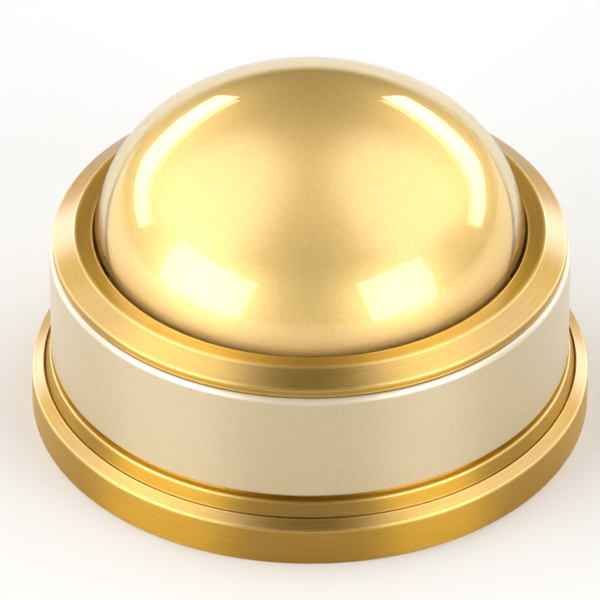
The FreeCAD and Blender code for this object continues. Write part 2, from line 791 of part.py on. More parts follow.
def switch_lever():
    # drawn lying flat with its pivot at the origin, then swung up to its rest angle
    body = make_body("switch_lever")
    strip = make_sketch(body, "strip_section", "YZ_Plane")
    rectangle(strip, "0", "lever_length", "0 - lever_half", "lever_half")
    pad(body, strip, "strip", "lever_width", both_ways=True)
    knuckle = make_sketch(body, "knuckle_section", "YZ_Plane")
    circle(knuckle, "0", "0", "knuckle_radius")
    pad(body, knuckle, "knuckle", "lever_width", both_ways=True)
    bore = make_sketch(body, "bore_section", "YZ_Plane")
    circle(bore, "0", "0", "pivot_radius + fit_gap")
    pocket(body, bore, "bore", "lever_width", both_ways=True)
    body.Placement = FreeCAD.Placement(FreeCAD.Vector(), FreeCAD.Rotation(FreeCAD.Vector(1, 0, 0), 1))
    for axis, place in zip("xyz", ("pin_middle", "pivot_place", "pivot_height")):
        body.setExpression("Placement.Base." + axis, bound(place))
    body.setExpression("Placement.Rotation.Angle", bound("swing"))
    return body


def switch_button():
    body = make_body("switch_button")
    sketch = make_sketch(body, "button_plan", "XY_Plane", out="pin_low")
    circle(sketch, "pin_middle", "pin_place", "pin_radius")
    pad(body, sketch, "button", "pin_top - pin_low")
    return body


def terminal(label, place):
    body = make_body(label)
    sketch = make_sketch(body, label + "_face", "YZ_Plane", out="pin_middle")
    rectangle(sketch, "%s - terminal_width / 2" % place, "%s + terminal_width / 2" % place,
              "case_low - terminal_length", "case_low")
    pad(body, sketch, label + "_blade", "terminal_thickness", both_ways=True)
    hole = make_sketch(body, label + "_eye", "YZ_Plane", out="pin_middle")
    circle(hole, place, "case_low - terminal_length / 2", "terminal_hole")
    pocket(body, hole, label + "_bore", "terminal_thickness", both_ways=True)
    return body


def switch_screws():
    # two screws through the switch into the bracket, heads on the cover
    body = make_body("switch_screws")
    sketch = make_sketch(body, "screw_section", "XY_Plane",
                         up="0 - switch_hole_side", out="switch_hole_height")
    draw_outline(sketch, [
        ("bracket_side", "0"),
        ("cover_side + switch_head_height", "0"),
        ("cover_side + switch_head_height", "switch_screw_head"),
        ("cover_side", "switch_screw_head"),
        ("cover_side", "switch_screw_radius"),
        ("bracket_side", "switch_screw_radius"),
    ])
    screw = revolve(body, sketch, "screw", axis="H_Axis")
    pair = body.newObject("PartDesign::LinearPattern", "screw_pair")
    pair.Originals = [screw]
    pair.Direction = (sketch, ["V_Axis"])
    pair.setExpression("Length", bound("switch_hole_pitch"))
    pair.Occurrences = 2
    body.Tip = pair
    doc.recompute()
    return body


# Screws that hold the housing together

def body_screws():
    return screw_ring("body_screws", "body_screw_ring", [
        ("0", "body_head_low"),
        ("body_screw_head", "body_head_low"),
        ("body_screw_head", "body_head_top"),
        ("body_screw_radius", "body_head_top"),
        ("body_screw_radius", "sleeve_base + body_screw_reach"),
        ("0", "sleeve_base + body_screw_reach"),
    ], angle="diagonal")


def plate_screws():
    return screw_ring("plate_screws", "plate_screw_ring", [
        ("0", "plate_low"),
        ("plate_screw_head", "plate_low"),
        ("plate_screw_radius", "plate_low + plate_screw_head - plate_screw_radius"),
        ("plate_screw_radius", "plate_low + plate_screw_length"),
        ("0", "plate_low + plate_screw_length"),
    ])


def lens_screws():
    return screw_ring("lens_screws", "lens_screw_ring", [
        ("0", "carrier_low - lens_head_height"),
        ("lens_screw_head", "carrier_low - lens_head_height"),
        ("lens_screw_head", "carrier_low"),
        ("lens_screw_radius", "carrier_low"),
        ("lens_screw_radius", "lens_rim_low + lens_screw_reach"),
        ("0", "lens_rim_low + lens_screw_reach"),
    ], angle="diagonal")


def build():
    fill_sheet()
    pieces = [
        base_flange(), collar_ring(), body_sleeve(), bezel_ring(), damper_ring(),
        chassis(), base_plate(), wire_grommet(),
        dome_lens(), reflector_dome(), plunger_carrier(), stop_washer(), return_spring(),
        switch_case(), switch_cover(), lever_pivot(), switch_lever(), switch_button(),
        terminal("terminal_common", "0 - terminal_pitch"),
        terminal("terminal_closed", "0"),
        terminal("terminal_open", "terminal_pitch"),
        switch_screws(), body_screws(), plate_screws(), lens_screws(),
    ]
    doc.recompute()
    return pieces


def check(pieces):
    for item in doc.Objects:
        if "Invalid" in item.State or "Error" in item.State:
            raise RuntimeError("%s did not build: %s" % (item.Label, item.State))
    for piece in pieces:
        if piece.Shape.isNull() or not piece.Shape.isValid() or not piece.Shape.Solids:
            raise RuntimeError("%s has no sound solid" % piece.Label)


def write(pieces):
    os.makedirs("parts", exist_ok=True)
    for piece in pieces:
        piece.Shape.exportStep(os.path.join("parts", piece.Label + ".step"))
        print("%-18s solids %d  volume %.1f mm3" % (piece.Label, len(piece.Shape.Solids), piece.Shape.Volume))


button_pieces = build()
check(button_pieces)
write(button_pieces)
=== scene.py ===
import math
import bpy
import bmesh
from mathutils import Matrix, Vector


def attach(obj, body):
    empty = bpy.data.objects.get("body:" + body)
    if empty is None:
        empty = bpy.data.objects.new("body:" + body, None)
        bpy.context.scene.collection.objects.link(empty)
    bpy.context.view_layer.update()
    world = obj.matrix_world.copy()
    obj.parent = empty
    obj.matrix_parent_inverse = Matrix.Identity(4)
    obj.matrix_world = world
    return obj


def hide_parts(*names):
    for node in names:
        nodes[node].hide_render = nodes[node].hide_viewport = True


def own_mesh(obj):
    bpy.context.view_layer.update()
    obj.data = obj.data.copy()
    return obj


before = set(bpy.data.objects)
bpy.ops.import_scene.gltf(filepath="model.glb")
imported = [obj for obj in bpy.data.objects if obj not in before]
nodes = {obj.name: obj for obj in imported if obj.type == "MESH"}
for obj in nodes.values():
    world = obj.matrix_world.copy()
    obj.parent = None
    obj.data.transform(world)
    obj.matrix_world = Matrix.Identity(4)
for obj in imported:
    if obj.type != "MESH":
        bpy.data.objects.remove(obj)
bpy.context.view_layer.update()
mm = 0.001
print("frame loaded:", len(nodes), "nodes")


# turned pieces: a section in (radius, height, rounding) millimetres, spun about an upright axis
def roundCorners(section, arcSteps=5):
    outline = []
    for i, (radius, height, rounding) in enumerate(section):
        here = Vector((radius, height))
        if not rounding:
            outline.append(here)
            continue
        before = (Vector(section[i - 1][:2]) - here).normalized()
        after = (Vector(section[(i + 1) % len(section)][:2]) - here).normalized()
        half = before.angle(after) / 2
        centre = here + (before + after).normalized() * rounding / math.sin(half)
        first = here + before * rounding / math.tan(half) - centre
        last = here + after * rounding / math.tan(half) - centre
        turn = first.angle_signed(last)  # clockwise is positive here
        for k in range(arcSteps + 1):
            a = -turn * k / arcSteps
            outline.append(centre + Vector((first.x * math.cos(a) - first.y * math.sin(a),
                                            first.x * math.sin(a) + first.y * math.cos(a))))
    return outline


def objectFrom(bm, name):
    mesh = bpy.data.meshes.new(name)
    bm.to_mesh(mesh)
    bm.free()
    made = bpy.data.objects.new(name, mesh)
    bpy.context.scene.collection.objects.link(made)
    return made


weldGap = 1e-7  # metres, for points that fall together on the axis
sliverArea = 1e-14  # square metres, for faces that fold to nothing there


def spinOutline(name, outline, steps=240, axisX=0.0):
    bm = bmesh.new()
    ring = [bm.verts.new((p.x * mm, 0, p.y * mm)) for p in outline]
    edges = [bm.edges.new((ring[i], ring[(i + 1) % len(ring)])) for i in range(len(ring))]
    bmesh.ops.spin(bm, geom=ring + edges, axis=(0, 0, 1), cent=(0, 0, 0),
                   angle=2 * math.pi, steps=steps, use_merge=True)
    bmesh.ops.remove_doubles(bm, verts=bm.verts, dist=weldGap)
    slivers = [f for f in bm.faces if f.calc_area() < sliverArea]
    bmesh.ops.delete(bm, geom=slivers, context="FACES_ONLY")
    bmesh.ops.recalc_face_normals(bm, faces=bm.faces)
    bmesh.ops.translate(bm, verts=bm.verts, vec=(axisX * mm, 0, 0))
    piece = objectFrom(bm, name)
    piece.data.shade_smooth()
    return piece


def cutAway(piece, cutter, selfCrossing=False):
    cut = piece.modifiers.new("cut", "BOOLEAN")
    cut.object = cutter
    cut.solver = "EXACT"
    cut.use_self = selfCrossing
    bpy.context.view_layer.update()
    result = piece.evaluated_get(bpy.context.evaluated_depsgraph_get())
    shaped = bpy.data.meshes.new_from_object(result)
    piece.modifiers.clear()
    piece.data = shaped
    bpy.data.objects.remove(cutter)


def evenNormals(piece):
    weighted = piece.modifiers.new("evenNormals", "WEIGHTED_NORMAL")
    weighted.weight = 100  # the large faces decide
    weighted.keep_sharp = True


def ringPlace(radius, angle):
    return Vector((radius * math.cos(angle), radius * math.sin(angle), 0)) * mm


# base flange: satin wall, bevel up to the collar's seat, recess and web underneath
flange = {
    "section": [(43.0, 0.0, 0.15), (50.0, 0.0, 0.3), (50.0, 7.2, 0.3), (47.75, 8.5, 0.16), (47.75, 7.0, 0),
                (34.0, 7.0, 0.1), (34.0, 3.2, 0.1), (43.0, 3.2, 0)],
    "paintedHighlight": (2, 3),  # the corners of the section that get a painted highlight
    "holes": 4, "holeRing": 46.5, "holeRadius": 1.65, "holeDepth": 6.0, "holeSides": 32,
}


def makeFlange():
    piece = spinOutline("baseFlange", roundCorners(flange["section"]))
    radius = flange["holeRadius"] * mm
    bm = bmesh.new()
    for k in range(flange["holes"]):
        made = bmesh.ops.create_cone(bm, cap_ends=True, segments=flange["holeSides"], radius1=radius,
                                     radius2=radius, depth=2 * flange["holeDepth"] * mm)
        place = ringPlace(flange["holeRing"], 2 * math.pi * k / flange["holes"])
        bmesh.ops.translate(bm, verts=made["verts"], vec=place)
    cutAway(piece, objectFrom(bm, "drill"))
    return piece


flangePiece = makeFlange()
evenNormals(flangePiece)

collar = {
    "section": [(35.5, 7.0, 0), (47.7, 7.0, 0), (47.7, 7.8, 0.05), (47.45, 7.8, 0), (47.45, 8.5, 0),
                (46.7, 11.05, 0.4), (45.3, 11.05, 0.05), (45.3, 12.2, 0), (37.45, 12.2, 0),
                (37.45, 13.8, 0.1), (35.5, 13.8, 0.1)],
    # the collar's corner that gets a painted highlight
    "paintedHighlight": (5,),
}
collarPiece = spinOutline("collarRing", roundCorners(collar["section"]))
evenNormals(collarPiece)

sleeve = {
    "section": [(37.5, 12.2, 0), (46.45, 12.2, 0.4), (46.45, 33.1, 1.0), (43.4, 33.1, 0.2),
                (43.4, 15.2, 0), (37.5, 15.2, 0)],
    # the sleeve's shoulder, which gets a painted highlight
    "paintedHighlight": (2,), "arcSteps": 8,
}
sleevePiece = spinOutline("bodySleeve", roundCorners(sleeve["section"], sleeve["arcSteps"]))
evenNormals(sleevePiece)

bezel = {
    "section": [(40.95, 26.0, 0), (43.35, 26.0, 0.1), (43.35, 33.1, 0), (44.9, 33.1, 0), (44.9, 33.4, 0),
                (45.8, 33.4, 0.12), (45.8, 34.85, 0.28), (41.86, 37.02, 0.35), (38.75, 36.92, 0.25),
                (38.75, 34.0, 0.05), (40.95, 34.0, 0)],
    # the bezel's corners that get a painted highlight
    "paintedHighlight": (5, 6, 7, 8), "arcSteps": 6,
}
bezelPiece = spinOutline("bezelRing", roundCorners(bezel["section"], bezel["arcSteps"]))
evenNormals(bezelPiece)
print("housing rings turned")


# domes: a knuckle arc and a crown arc that meet in a tangent, as on the solids
def domeArc(radius, centre, rise, knuckle, knuckleSteps=26, crownSteps=34):
    crown = ((radius - knuckle) ** 2 + rise ** 2 - knuckle ** 2) / (2 * (rise - knuckle))
    joint = math.atan2(crown - rise, radius - knuckle)
    points = [Vector((radius - knuckle + knuckle * math.cos(joint * k / knuckleSteps),
                      centre + knuckle * math.sin(joint * k / knuckleSteps))) for k in range(knuckleSteps)]
    for k in range(crownSteps + 1):
        a = joint + (math.pi / 2 - joint) * k / crownSteps
        points.append(Vector((max(crown * math.cos(a), 0) if k < crownSteps else 0,
                              centre + rise - crown + crown * math.sin(a))))
    return points


def domeShell(look):
    # up the outside and down the inside
    wall = look["wall"]
    outer = domeArc(look["radius"], look["centre"], look["rise"], look["knuckle"])
    inner = domeArc(look["radius"] - wall, look["centre"], look["rise"] - wall, look["knuckle"] - wall)
    return outer + inner[::-1]


lens = {"radius": 38.4, "centre": 35.45, "rise": 28.05, "knuckle": 22.65, "wall": 1.8,
        "rimRadius": 40.6, "rimLow": 31.55, "rimTop": 33.15, "lowRound": 0.1, "topRound": 0.2}


def makeLens():
    rim = roundCorners([(lens["radius"] - lens["wall"], lens["rimLow"], lens["lowRound"]),
                        (lens["rimRadius"], lens["rimLow"], lens["lowRound"]),
                        (lens["rimRadius"], lens["rimTop"], lens["topRound"]),
                        (lens["radius"], lens["rimTop"], lens["topRound"]),
                        (lens["radius"], lens["centre"], 0)])[:-1]
    return spinOutline("domeLens", rim + domeShell(lens))


lensPiece = makeLens()

reflector = {"radius": 36.0, "centre": 35.45, "rise": 26.0, "knuckle": 20.25, "wall": 1.2, "low": 30.65,
             "flangeRadius": 40.2, "flangeTop": 31.55, "edgeRound": 0.15, "footFillet": 0.5}


def makeReflector():
    foot = roundCorners([(reflector["radius"] - reflector["wall"], reflector["low"], 0),
                         (reflector["flangeRadius"], reflector["low"], reflector["edgeRound"]),
                         (reflector["flangeRadius"], reflector["flangeTop"], reflector["edgeRound"]),
                         (reflector["radius"], reflector["flangeTop"], reflector["footFillet"]),
                         (reflector["radius"], reflector["centre"], 0)])[:-1]
    return spinOutline("reflectorDome", foot + domeShell(reflector))


reflectorPiece = makeReflector()
evenNormals(reflectorPiece)
print("domes turned")


# underside: rubber grommet with rolled lips, cross-head plate screws
grommet = {
    "section": [(3.5, 0.3, 0.35), (6.4, 0.3, 0.4), (6.4, 1.2, 0.12), (4.95, 1.2, 0), (4.95, 3.2, 0),
                (6.4, 3.2, 0.12), (6.4, 4.1, 0.4), (3.5, 4.1, 0.35)],
    "arcSteps": 6, "steps": 72, "axisX": 18.1,
}
grommetPiece = spinOutline("wireGrommet", roundCorners(grommet["section"], grommet["arcSteps"]),
                           grommet["steps"], grommet["axisX"])

plateScrew = {
    "section": [(0.0, 1.2, 0), (2.3, 1.2, 0.07), (1.0, 2.5, 0.15), (1.0, 6.2, 0.2), (0.0, 6.2, 0)],
    "steps": 48, "ring": 38.5, "count": 4, "drivenTurn": 0.3,
    "armLength": 1.25, "armWidth": 0.5, "mouthFlare": 1.1,
    "recessDepth": 0.9, "recessTaper": 0.45, "recessClear": 0.1,
}


def makeCrossCutter():
    # two crossed bars that narrow towards the bottom of the recess
    headFace = plateScrew["section"][0][1]
    bm = bmesh.new()
    for turn in (0, math.pi / 2):
        for v in bmesh.ops.create_cube(bm, size=1.0)["verts"]:
            deep = v.co.z > 0
            flare = plateScrew["recessTaper"] if deep else plateScrew["mouthFlare"]
            reach = plateScrew["armLength"] * flare
            along, across = v.co.x * 2 * reach, v.co.y * plateScrew["armWidth"]
            height = headFace + (plateScrew["recessDepth"] if deep else -plateScrew["recessClear"])
            v.co = Vector((along * math.cos(turn) - across * math.sin(turn),
                           along * math.sin(turn) + across * math.cos(turn), height)) * mm
    return objectFrom(bm, "crossCutter")


def makePlateScrews():
    piece = spinOutline("plateScrews", roundCorners(plateScrew["section"]), plateScrew["steps"])
    cutAway(piece, makeCrossCutter(), selfCrossing=True)
    bm = bmesh.new()
    for k in range(plateScrew["count"]):
        a = 2 * math.pi * k / plateScrew["count"]
        first = len(bm.verts)
        bm.from_mesh(piece.data)
        bm.verts.ensure_lookup_table()
        fresh = bm.verts[first:]
        driven = Matrix.Rotation(a + plateScrew["drivenTurn"] * k, 3, "Z")  # each stops at its own angle
        bmesh.ops.rotate(bm, verts=fresh, cent=(0, 0, 0), matrix=driven)
        bmesh.ops.translate(bm, verts=fresh, vec=ringPlace(plateScrew["ring"], a))
    bm.to_mesh(piece.data)
    bm.free()
    return piece


screwPiece = makePlateScrews()
evenNormals(screwPiece)

# return coil with a closed turn at each end
coil = {"meanRadius": 10.2, "wire": 0.7, "low": 7.15, "top": 28.2, "turns": 4, "perTurn": 44, "sides": 14,
        "travel": 4.0}


def coilPath():
    low, top = coil["low"] + coil["wire"], coil["top"] - coil["wire"]
    total = coil["turns"] + 2  # with the closed ones
    closedRise = 2 * coil["wire"]
    path = []
    for k in range(total * coil["perTurn"] + 1):
        turn = k / coil["perTurn"]
        fromEnd = min(turn, total - turn)
        if fromEnd < 1:
            rise = closedRise * fromEnd ** 2
            height = low + rise if turn < 1 else top - rise
        else:
            share = (turn - 1) / coil["turns"]
            height = low + closedRise + (top - low - 2 * closedRise) * share
        a = 2 * math.pi * turn
        path.append(Vector((coil["meanRadius"] * math.cos(a), coil["meanRadius"] * math.sin(a), height)))
    return path


def makeCoil():
    path = coilPath()
    bm = bmesh.new()
    rings = []
    for k, point in enumerate(path):
        along = (path[min(k + 1, len(path) - 1)] - path[max(k - 1, 0)]).normalized()
        out = Vector((point.x, point.y, 0)).normalized()
        up = along.cross(out).normalized()
        out = up.cross(along)
        rings.append([bm.verts.new((point + coil["wire"] * (math.cos(b) * out + math.sin(b) * up)) * mm)
                      for b in (2 * math.pi * j / coil["sides"] for j in range(coil["sides"]))])
    for here, there in zip(rings, rings[1:]):
        for j in range(coil["sides"]):
            n = (j + 1) % coil["sides"]
            bm.faces.new((here[j], here[n], there[n], there[j]))
    bm.faces.new(rings[0][::-1])
    bm.faces.new(rings[-1])
    bmesh.ops.recalc_face_normals(bm, faces=bm.faces)
    piece = objectFrom(bm, "returnCoil")
    piece.data.shade_smooth()
    return piece


coilPiece = makeCoil()
print("grommet, screws and coil made")


# finishes
def newFinish(name, settings):
    finish = bpy.data.materials.new(name)
    finish.use_nodes = True
    shader = finish.node_tree.nodes["Principled BSDF"]
    for socket, setting in settings.items():
        shader.inputs[socket].default_value = setting
    return finish, finish.node_tree, shader


def addNode(tree, kind, **settings):
    node = tree.nodes.new(kind)
    for key, setting in settings.items():
        if key in node.inputs:
            node.inputs[key].default_value = setting
        else:
            setattr(node, key, setting)
    return node


def remap(tree, source, fromSpan, toSpan, curve="LINEAR"):
    spread = addNode(tree, "ShaderNodeMapRange", interpolation_type=curve)
    for socket, setting in zip(("From Min", "From Max", "To Min", "To Max"), (*fromSpan, *toSpan)):
        spread.inputs[socket].default_value = setting
    tree.links.new(source, spread.inputs["Value"])
    return spread.outputs["Result"]


def splitPlace(tree):
    place = addNode(tree, "ShaderNodeTexCoord")
    split = addNode(tree, "ShaderNodeSeparateXYZ")
    tree.links.new(place.outputs["Object"], split.inputs["Vector"])
    return split.outputs


def speckle(tree, scale, detail=2.0):
    place = addNode(tree, "ShaderNodeTexCoord")
    grain = addNode(tree, "ShaderNodeTexNoise", Scale=scale, Detail=detail)
    tree.links.new(place.outputs["Object"], grain.inputs["Vector"])
    return grain.outputs["Fac"]


toneSpan = (0.3, 0.7)  # the grain's values that take the low and the high tone


def twoTone(tree, shader, grain, low, high):
    ramp = tree.nodes.new("ShaderNodeValToRGB")
    for stop, position, tone in zip(ramp.color_ramp.elements, toneSpan, (low, high)):
        stop.position = position
        stop.color = (*tone, 1)
    tree.links.new(grain, ramp.inputs["Fac"])
    tree.links.new(ramp.outputs["Color"], shader.inputs["Base Color"])


def varyRoughness(tree, shader, grain, rough):
    tree.links.new(remap(tree, grain, (0, 1), rough), shader.inputs["Roughness"])


def addRelief(tree, shader, grain, strength, depth):
    bump = addNode(tree, "ShaderNodeBump", Strength=strength, Distance=depth)
    tree.links.new(grain, bump.inputs["Height"])
    tree.links.new(bump.outputs["Normal"], shader.inputs["Normal"])


def layGrain(tree, shader, grain, look):
    # one grain shifts the tone and the roughness and raises the surface a little
    twoTone(tree, shader, grain, look["low"], look["high"])
    varyRoughness(tree, shader, grain, look["rough"])
    addRelief(tree, shader, grain, *look["relief"])


def tintBase(tree, shader, share, colour, mode):
    # lays a colour over the finish so far, as far as share goes
    blend = addNode(tree, "ShaderNodeMix", data_type="RGBA", blend_type=mode)
    amount, base, over = blend.inputs[0], blend.inputs[6], blend.inputs[7]
    over.default_value = (*colour, 1)
    under = shader.inputs["Base Color"].links[0].from_socket
    tree.links.new(share, amount)
    tree.links.new(under, base)
    tree.links.new(blend.outputs[2], shader.inputs["Base Color"])


def sectionPlace(tree):
    # where a point lies on a turned section: radius and height, and its angle round the axis
    split = splitPlace(tree)
    flat = addNode(tree, "ShaderNodeCombineXYZ")
    for way in "XY":
        tree.links.new(split[way], flat.inputs[way])
    reach = addNode(tree, "ShaderNodeVectorMath", operation="LENGTH")
    tree.links.new(flat.outputs["Vector"], reach.inputs[0])
    angle = addNode(tree, "ShaderNodeMath", operation="ARCTAN2")
    tree.links.new(split["Y"], angle.inputs[0])
    tree.links.new(split["X"], angle.inputs[1])
    return reach.outputs["Value"], split["Z"], angle.outputs["Value"]


def turnedGrain(tree, section, across, around):
    # lines that run round the axis: fine across the section, long round the ring
    lines = addNode(tree, "ShaderNodeCombineXYZ")
    for source, scale, target in zip(section, (across, across, around), "XYZ"):
        stretch = addNode(tree, "ShaderNodeMath", operation="MULTIPLY")
        stretch.inputs[1].default_value = scale
        tree.links.new(source, stretch.inputs[0])
        tree.links.new(stretch.outputs["Value"], lines.inputs[target])
    grain = addNode(tree, "ShaderNodeTexNoise", Scale=1.0, Detail=3.0, Roughness=0.6)
    tree.links.new(lines.outputs["Vector"], grain.inputs["Vector"])
    return grain.outputs["Fac"]


def paintedHighlightCorners(*pieces):
    return [piece["section"][corner][:2] for piece in pieces for corner in piece["paintedHighlight"]]


def paintHighlightOnEdges(tree, shader, section, corners, look):
    # paints a highlight into the colour at the corners, given as (radius, height) in millimetres
    here = addNode(tree, "ShaderNodeCombineXYZ")
    for source, target in zip(section, "XY"):
        tree.links.new(source, here.inputs[target])
    nearest = None
    for radius, height in corners:
        gap = addNode(tree, "ShaderNodeVectorMath", operation="DISTANCE")
        gap.inputs[1].default_value = (radius * mm, height * mm, 0)
        tree.links.new(here.outputs["Vector"], gap.inputs[0])
        if nearest is None:
            nearest = gap.outputs["Value"]
            continue
        least = addNode(tree, "ShaderNodeMath", operation="MINIMUM")
        tree.links.new(nearest, least.inputs[0])
        tree.links.new(gap.outputs["Value"], least.inputs[1])
        nearest = least.outputs["Value"]
    paintedHighlight = remap(tree, nearest, (look["edgeFar"] * mm, look["edgeNear"] * mm), (0, 1), "SMOOTHSTEP")
    tintBase(tree, shader, paintedHighlight, look["edgeHighlightColour"], "MIX")


def runRound(tree, shader):
    # the finish runs round the axis, so the gleam is drawn out across it
    line = addNode(tree, "ShaderNodeTangent", direction_type="RADIAL", axis="Z")
    tree.links.new(line.outputs["Tangent"], shader.inputs["Tangent"])


turnedGold = {
    "low": (0.61, 0.342, 0.014), "high": (0.75, 0.445, 0.032), "rough": (0.40, 0.50),
    "relief": (0.08, 0.00002), "across": 3200.0, "around": 5.0,
    # edgeHighlightColour is a painted highlight on the listed corners, full within edgeNear and gone by
    # edgeFar millimetres
    "edgeHighlightColour": (0.95, 0.64, 0.16), "edgeNear": 0.22, "edgeFar": 0.5,
    "facing": (0.3, 0.75),  # the upward share of the normal on a wall and on a bevel
    "lacquer": (0.28, 1.0),  # on the same two
    # a painted shade, multiplied into the colour of the upright walls
    "wallPaintedShade": (0.72, 0.69, 0.70),
    "shader": {"Metallic": 1.0, "Anisotropic": 0.9, "Anisotropic Rotation": 0.25,
               "Coat Roughness": 0.22, "Coat IOR": 2.0},
}


def lacquerBevelsShadeWalls(tree, shader):
    # the bevels carry the thicker lacquer; the upright walls get a painted shade, their colour multiplied
    # darker the less they face up
    facing = addNode(tree, "ShaderNodeNewGeometry")
    split = addNode(tree, "ShaderNodeSeparateXYZ")
    tree.links.new(facing.outputs["Normal"], split.inputs["Vector"])
    lacquer = remap(tree, split.outputs["Z"], turnedGold["facing"], turnedGold["lacquer"])
    tree.links.new(lacquer, shader.inputs["Coat Weight"])
    wallShadeShare = remap(tree, split.outputs["Z"], turnedGold["facing"], (1, 0))
    tintBase(tree, shader, wallShadeShare, turnedGold["wallPaintedShade"], "MULTIPLY")


def makeTurnedGold():
    finish, tree, shader = newFinish("turnedGold", turnedGold["shader"])
    section = sectionPlace(tree)
    lines = turnedGrain(tree, section, turnedGold["across"], turnedGold["around"])
    layGrain(tree, shader, lines, turnedGold)
    paintHighlightOnEdges(tree, shader, section, paintedHighlightCorners(flange, collar, bezel), turnedGold)
    runRound(tree, shader)
    lacquerBevelsShadeWalls(tree, shader)
    return finish


domeGold = {
    "low": (0.95, 0.82, 0.53), "high": (1.0, 0.90, 0.63), "rough": (0.44, 0.54),
    "relief": (0.12, 0.00003), "grain": 1800.0,
    "footSpan": (0.0372, 0.0392), "footMetal": (0.35, 0.92),  # heights in metres, matte and satin
    "shader": {"Specular IOR Level": 0.5},
}


def makeDomeGold():
    finish, tree, shader = newFinish("domeGold", domeGold["shader"])
    layGrain(tree, shader, speckle(tree, domeGold["grain"]), domeGold)
    # the foot keeps a matte undercoat
    metal = remap(tree, splitPlace(tree)["Z"], domeGold["footSpan"], domeGold["footMetal"])
    tree.links.new(metal, shader.inputs["Metallic"])
    return finish


creamPearl = {
    "low": (0.455, 0.338, 0.146), "high": (0.53, 0.402, 0.19), "rough": (0.38, 0.46),
    "relief": (0.06, 0.00002), "grain": 2200.0,
    # edgeHighlightColour is a painted highlight along the shoulder, full within edgeNear and gone by
    # edgeFar millimetres
    "edgeHighlightColour": (0.80, 0.70, 0.54), "edgeNear": 0.5, "edgeFar": 1.1,
    "shader": {"Metallic": 0.35, "IOR": 2.0, "Specular IOR Level": 1.0,
               "Anisotropic": 0.8, "Anisotropic Rotation": 0.25,
               "Coat Weight": 1.0, "Coat Roughness": 0.3, "Coat IOR": 1.6},
}


def makeCreamPearl():
    finish, tree, shader = newFinish("creamPearl", creamPearl["shader"])
    layGrain(tree, shader, speckle(tree, creamPearl["grain"]), creamPearl)
    paintHighlightOnEdges(tree, shader, sectionPlace(tree), paintedHighlightCorners(sleeve), creamPearl)
    runRound(tree, shader)
    return finish


clearAcrylic = {
    "haze": (0.0, 0.015), "hazeScale": 90.0,  # faint, from handling
    "depthTint": (0.90, 0.70, 0.10), "depthDensity": 200.0,
    "shader": {"Base Color": (1.0, 0.985, 0.95, 1), "Transmission Weight": 1.0, "IOR": 1.49},
}


def makeClearAcrylic():
    finish, tree, shader = newFinish("clearAcrylic", clearAcrylic["shader"])
    varyRoughness(tree, shader, speckle(tree, clearAcrylic["hazeScale"]), clearAcrylic["haze"])
    depth = addNode(tree, "ShaderNodeVolumeAbsorption")  # warmer where the wall is seen edge on
    depth.inputs["Color"].default_value = (*clearAcrylic["depthTint"], 1)
    depth.inputs["Density"].default_value = clearAcrylic["depthDensity"]
    tree.links.new(depth.outputs["Volume"], tree.nodes["Material Output"].inputs["Volume"])
    return finish


# plain finishes of the inner and lower pieces, with the nodes that wear them
plainDetail = 4.0
plainDepth = 0.00004
plainLooks = {
    "blackMoulded": {
        "low": (0.018, 0.018, 0.019), "high": (0.03, 0.03, 0.031), "rough": (0.45, 0.6),
        "grain": 900.0, "relief": (0.1, plainDepth), "shader": {},
        "nodes": ("chassis", "plunger_carrier")},
    "switchMoulded": {
        "low": (0.014, 0.014, 0.016), "high": (0.024, 0.024, 0.026), "rough": (0.4, 0.5),
        "grain": 1200.0, "relief": (0.1, plainDepth), "shader": {},
        "nodes": ("switch_case", "switch_cover")},
    "redMoulded": {
        "low": (0.36, 0.02, 0.015), "high": (0.45, 0.03, 0.02), "rough": (0.35, 0.45),
        "grain": 1500.0, "relief": (0.1, plainDepth), "shader": {},
        "nodes": ("switch_button",)},
    "springWire": {
        "low": (0.52, 0.52, 0.53), "high": (0.62, 0.62, 0.63), "rough": (0.2, 0.3),
        "grain": 700.0, "relief": (0.03, plainDepth), "shader": {"Metallic": 1.0},
        "nodes": ("return_spring", "lever_pivot", "switch_lever")},
    "zincScrew": {
        "low": (0.50, 0.50, 0.50), "high": (0.62, 0.62, 0.61), "rough": (0.25, 0.38),
        "grain": 1100.0, "relief": (0.05, plainDepth), "shader": {"Metallic": 1.0},
        "nodes": ("switch_screws", "body_screws", "lens_screws", "plate_screws")},
    "brassBlade": {
        "low": (0.70, 0.50, 0.20), "high": (0.80, 0.60, 0.27), "rough": (0.25, 0.35),
        "grain": 1000.0, "relief": (0.04, plainDepth), "shader": {"Metallic": 1.0},
        "nodes": ("terminal_common", "terminal_closed", "terminal_open")},
    "amberSilicone": {
        "low": (0.42, 0.22, 0.05), "high": (0.52, 0.30, 0.08), "rough": (0.4, 0.55),
        "grain": 800.0, "relief": (0.1, plainDepth), "shader": {"Transmission Weight": 0.3},
        "nodes": ("damper_ring",)},
    "softRubber": {
        "low": (0.012, 0.012, 0.012), "high": (0.022, 0.022, 0.022), "rough": (0.65, 0.8),
        "grain": 800.0, "relief": (0.15, plainDepth), "shader": {},
        "nodes": ("stop_washer", "wire_grommet")},
    "platePaint": {
        "low": (0.02, 0.02, 0.02), "high": (0.035, 0.035, 0.035), "rough": (0.38, 0.5),
        "grain": 650.0, "relief": (0.2, plainDepth), "shader": {},
        "nodes": ("base_plate",)},
}


def makePlain(name, look):
    finish, tree, shader = newFinish(name, look["shader"])
    layGrain(tree, shader, speckle(tree, look["grain"], plainDetail), look)
    return finish


goldFinish = makeTurnedGold()
domeFinish = makeDomeGold()
creamFinish = makeCreamPearl()
clearFinish = makeClearAcrylic()
plainFinishes = {name: makePlain(name, look) for name, look in plainLooks.items()}
print("finishes made")


# dressing: a new piece rides on its node's body and stands in for the node
def dress(piece, finish):
    piece.data.materials.clear()
    piece.data.materials.append(finish)


def standIn(piece, body, node, finish):
    dress(piece, finish)
    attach(piece, body)
    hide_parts(node)


